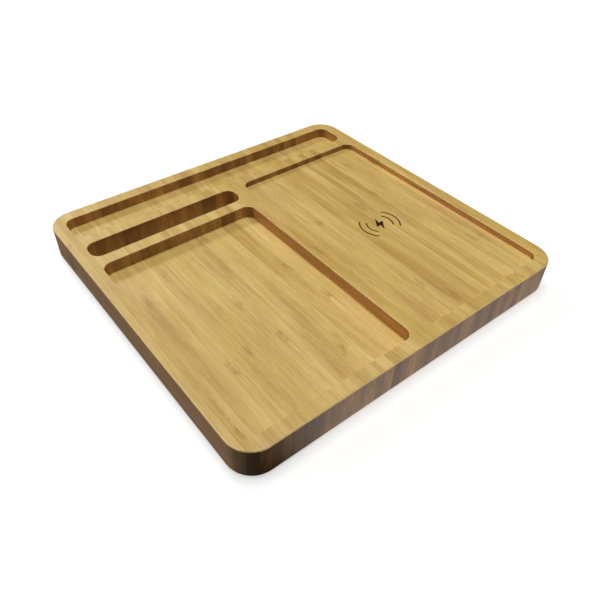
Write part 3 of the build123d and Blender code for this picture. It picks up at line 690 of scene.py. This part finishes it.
# ---- The finish of each material slot in the record ----
FINISHES = {
    "bamboo": bamboo(),
    "cover_plastic": moulded_plastic("cover_plastic", PLASTIC_BLACK, roughness=0.55),
    "black_screws": black_zinc(),
    "foot_rubber": rubber(),
    "tape": adhesive_film(),
    "coil_wire": enamelled_copper(),
    "lead_sleeve": enamelled_copper(),
    "ferrite": ferrite("shield_ferrite", SHIELD_GREY),
    "bead_resin": resin_bead(),
    "board_laminate": circuit_laminate(),
    "steel_screws": worked_metal("zinc_screw", ZINC, roughness=0.32),
    "inlet_steel": worked_metal("drawn_steel", STEEL, roughness=0.28, per_mm=(5.0, 0.4, 5.0), dull=0.3),
    "inlet_plastic": moulded_plastic("inlet_plastic", INLET_BLACK, roughness=0.45, per_mm=8.0),
    "gold_contacts": worked_metal("gold_flash", GOLD, roughness=0.25, per_mm=(9.0, 1.0, 9.0), dull=0.2),
    "bezel_plastic": moulded_plastic("bezel_plastic", PLASTIC_BLACK, roughness=0.5, per_mm=5.0),
    "clear_acrylic": clear_acrylic(),
    "led_body": led_package(),
    "chip_resin": chip_package(),
    "capacitor_ceramic": terminal_part("capacitor_ceramic", CERAMIC, terminals_along_x=True),
    "inductor_ferrite": ferrite("inductor_ferrite", INDUCTOR_GREY),
    "resistor_body": terminal_part("resistor_body", RESISTOR_BLACK, terminals_along_x=False),
}
for subpart in frame["record"]["subparts"]:
    for material_slot in NODES[subpart["node"]].material_slots:
        material_slot.material = FINISHES[subpart["material_slot"]]


# ---- Stage ----
# The camera sees a pale table that takes a faint shadow. The object sees the table as a soft bounce,
# with a dark quarter on the camera's side, where whoever stands there shades it. Right under the slab
# the bounce is even. A camera under the table sees through it.
TABLE_REACH = 3.0
TABLE_PAPER = (0.5, 0.5, 0.5, 1.0)
TABLE_GLOW = 0.6  # what the table adds to its lit paper near the object,
FULL_GLOW = 1.0  # and far from it
GLOW_EDGE = (0.2, 0.8)
FRONT_BOUNCE = 0.71
LEFT_BOUNCE = 0.25
RIGHT_BOUNCE = 0.2
UNDER_BOUNCE = 0.45
BOUNCE_COLOR = (0.98, 1.0, 1.1, 1.0)
# Where the front bounce starts along X, and where it fades into the right one.
FRONT_EDGE = (SLAB_LOW.x + 0.015, SLAB_LOW.x + 0.054)
RIGHT_EDGE = (SLAB_HIGH.x + 0.04, SLAB_HIGH.x - 0.005)
# Where the left bounce starts along Y, and where it ends along X, by the slab's left side.
LEFT_EDGE = (SLAB_LOW.y - 0.036, SLAB_LOW.y + 0.009)
LEFT_LIMIT = (SLAB_LOW.x + 0.012, SLAB_LOW.x - 0.004)
UNDER_EDGE = (0.0045, 0.006)  # how far in from the slab's sides the even part starts
ROOM_LIGHT = 0.03
WHITE = (1.0, 1.0, 1.0, 1.0)
LIGHT_DISTANCE = 2.0
LIGHTS = {  # azimuth, elevation, diameter, watts
    "overhead": (180, 89, 1.0, 31.5),
    "back_light": (180, 40, 0.33, 10.3),
    "left_light": (-120, 25, 0.5, 4.8),
}


def add_table():
    corners = [(-1, -1), (1, -1), (1, 1), (-1, 1)]
    mesh = bpy.data.meshes.new("table")
    mesh.from_pydata([(x * TABLE_REACH, y * TABLE_REACH, 0) for x, y in corners], [], [(0, 1, 2, 3)])
    table = bpy.data.objects.new("table", mesh)
    bpy.context.scene.collection.objects.link(table)
    mesh.materials.append(table_material())


def bounce_strength(s, x, y):
    """How strongly the table lights the object from a place on it, in metres."""
    left_part = s.times(s.step(y, *LEFT_EDGE), s.step(x, *LEFT_LIMIT, 0.0, LEFT_BOUNCE))
    front_part = s.times(s.step(x, *FRONT_EDGE), s.step(x, *RIGHT_EDGE, RIGHT_BOUNCE, FRONT_BOUNCE))
    from_sides = [s.less(half * MM, s.size_of(value)) for half, value in zip(SLAB_HALF, (x, y))]
    under = s.step(s.math("MINIMUM", *from_sides), *UNDER_EDGE, 0.0, UNDER_BOUNCE)
    return s.math("MAXIMUM", s.math("MAXIMUM", left_part, front_part), under)


def table_material():
    s = Shader("table")
    x, y, _ = s.split(s.coordinates.outputs["Object"])
    bounce = s.node("ShaderNodeEmission", Color=BOUNCE_COLOR, Strength=bounce_strength(s, x, y))
    paper = s.node("ShaderNodeBsdfDiffuse", Color=TABLE_PAPER)
    glow_strength = s.step(s.distance(x, y), *GLOW_EDGE, TABLE_GLOW, FULL_GLOW)
    glow = s.node("ShaderNodeEmission", Strength=glow_strength)
    seen = s.node("ShaderNodeAddShader")
    s.connect(seen, "0", paper.outputs[0])
    s.connect(seen, "1", glow.outputs[0])
    camera_ray = s.node("ShaderNodeLightPath").outputs["Is Camera Ray"]
    from_below = s.times(camera_ray, s.node("ShaderNodeNewGeometry").outputs["Backfacing"])
    table = s.node("ShaderNodeMixShader", Fac=camera_ray)
    s.connect(table, "1", bounce.outputs[0])
    s.connect(table, "2", seen.outputs[0])
    glass = s.node("ShaderNodeMixShader", Fac=from_below)
    s.connect(glass, "1", table.outputs[0])
    s.connect(glass, "2", s.node("ShaderNodeBsdfTransparent").outputs[0])
    output = s.node("ShaderNodeOutputMaterial")
    s.connect(output, "Surface", glass.outputs[0])
    return s.material


def add_room():
    """A dim room around the table, which only the camera sees as white."""
    world = bpy.data.worlds.new("room")
    world.use_nodes = True
    tree = world.node_tree
    dim = tree.nodes["Background"]
    dim.inputs["Color"].default_value = WHITE
    dim.inputs["Strength"].default_value = ROOM_LIGHT
    white = tree.nodes.new("ShaderNodeBackground")
    white.inputs["Color"].default_value = WHITE
    choice = tree.nodes.new("ShaderNodeMixShader")
    tree.links.new(tree.nodes.new("ShaderNodeLightPath").outputs["Is Camera Ray"], choice.inputs[0])
    tree.links.new(dim.outputs[0], choice.inputs[1])
    tree.links.new(white.outputs[0], choice.inputs[2])
    tree.links.new(choice.outputs[0], tree.nodes["World Output"].inputs["Surface"])
    bpy.context.scene.world = world


def direction_to(azimuth, elevation):
    """Unit vector from the object towards a viewer. Azimuth 0 stands in front of it, 90 at its right."""
    a, e = math.radians(azimuth), math.radians(elevation)
    return Vector((math.sin(a) * math.cos(e), -math.cos(a) * math.cos(e), math.sin(e)))


def add_light(name, azimuth, elevation, size, watts):
    """A round soft light that shines on the object from a direction."""
    light = bpy.data.lights.new(name, "AREA")
    light.shape = "DISK"
    light.size = size
    light.energy = watts
    holder = bpy.data.objects.new(name, light)
    bpy.context.scene.collection.objects.link(holder)
    direction = direction_to(azimuth, elevation)
    holder.location = direction * LIGHT_DISTANCE
    holder.rotation_mode = "QUATERNION"
    holder.rotation_quaternion = direction.to_track_quat("Z", "Y")


# ---- Camera ----
CAMERA_AZIMUTH = -39.6
CAMERA_ELEVATION = 43.14
CAMERA_ROLL = 1.67
CAMERA_LENS = 35.75
CAMERA_SENSOR = 36.0
NEAREST_SEEN = 0.01
CAMERA_DISTANCE = 1.5483 * SLAB_WIDTH
CAMERA_AIM = Vector((-0.0823 * SLAB_WIDTH, -0.1237 * SLAB_WIDTH, SLAB_LOW.z))


def add_camera():
    camera = bpy.data.objects.new("camera", bpy.data.cameras.new("camera"))
    camera.data.lens = CAMERA_LENS
    camera.data.sensor_width = CAMERA_SENSOR
    camera.data.clip_start = NEAREST_SEEN
    bpy.context.scene.collection.objects.link(camera)
    back = direction_to(CAMERA_AZIMUTH, CAMERA_ELEVATION)
    right = Vector((0, 0, 1)).cross(back).normalized()
    up = back.cross(right)
    roll = math.radians(CAMERA_ROLL)
    rolled_right = right * math.cos(roll) + up * math.sin(roll)
    rolled_up = up * math.cos(roll) - right * math.sin(roll)
    turn = Matrix((rolled_right, rolled_up, back)).transposed()
    camera.matrix_world = Matrix.Translation(CAMERA_AIM + back * CAMERA_DISTANCE) @ turn.to_4x4()
    bpy.context.scene.camera = camera


add_table()
add_room()
for light_name, light_settings in LIGHTS.items():
    add_light(light_name, *light_settings)
add_camera()
bpy.context.scene.view_settings.view_transform = "Standard"
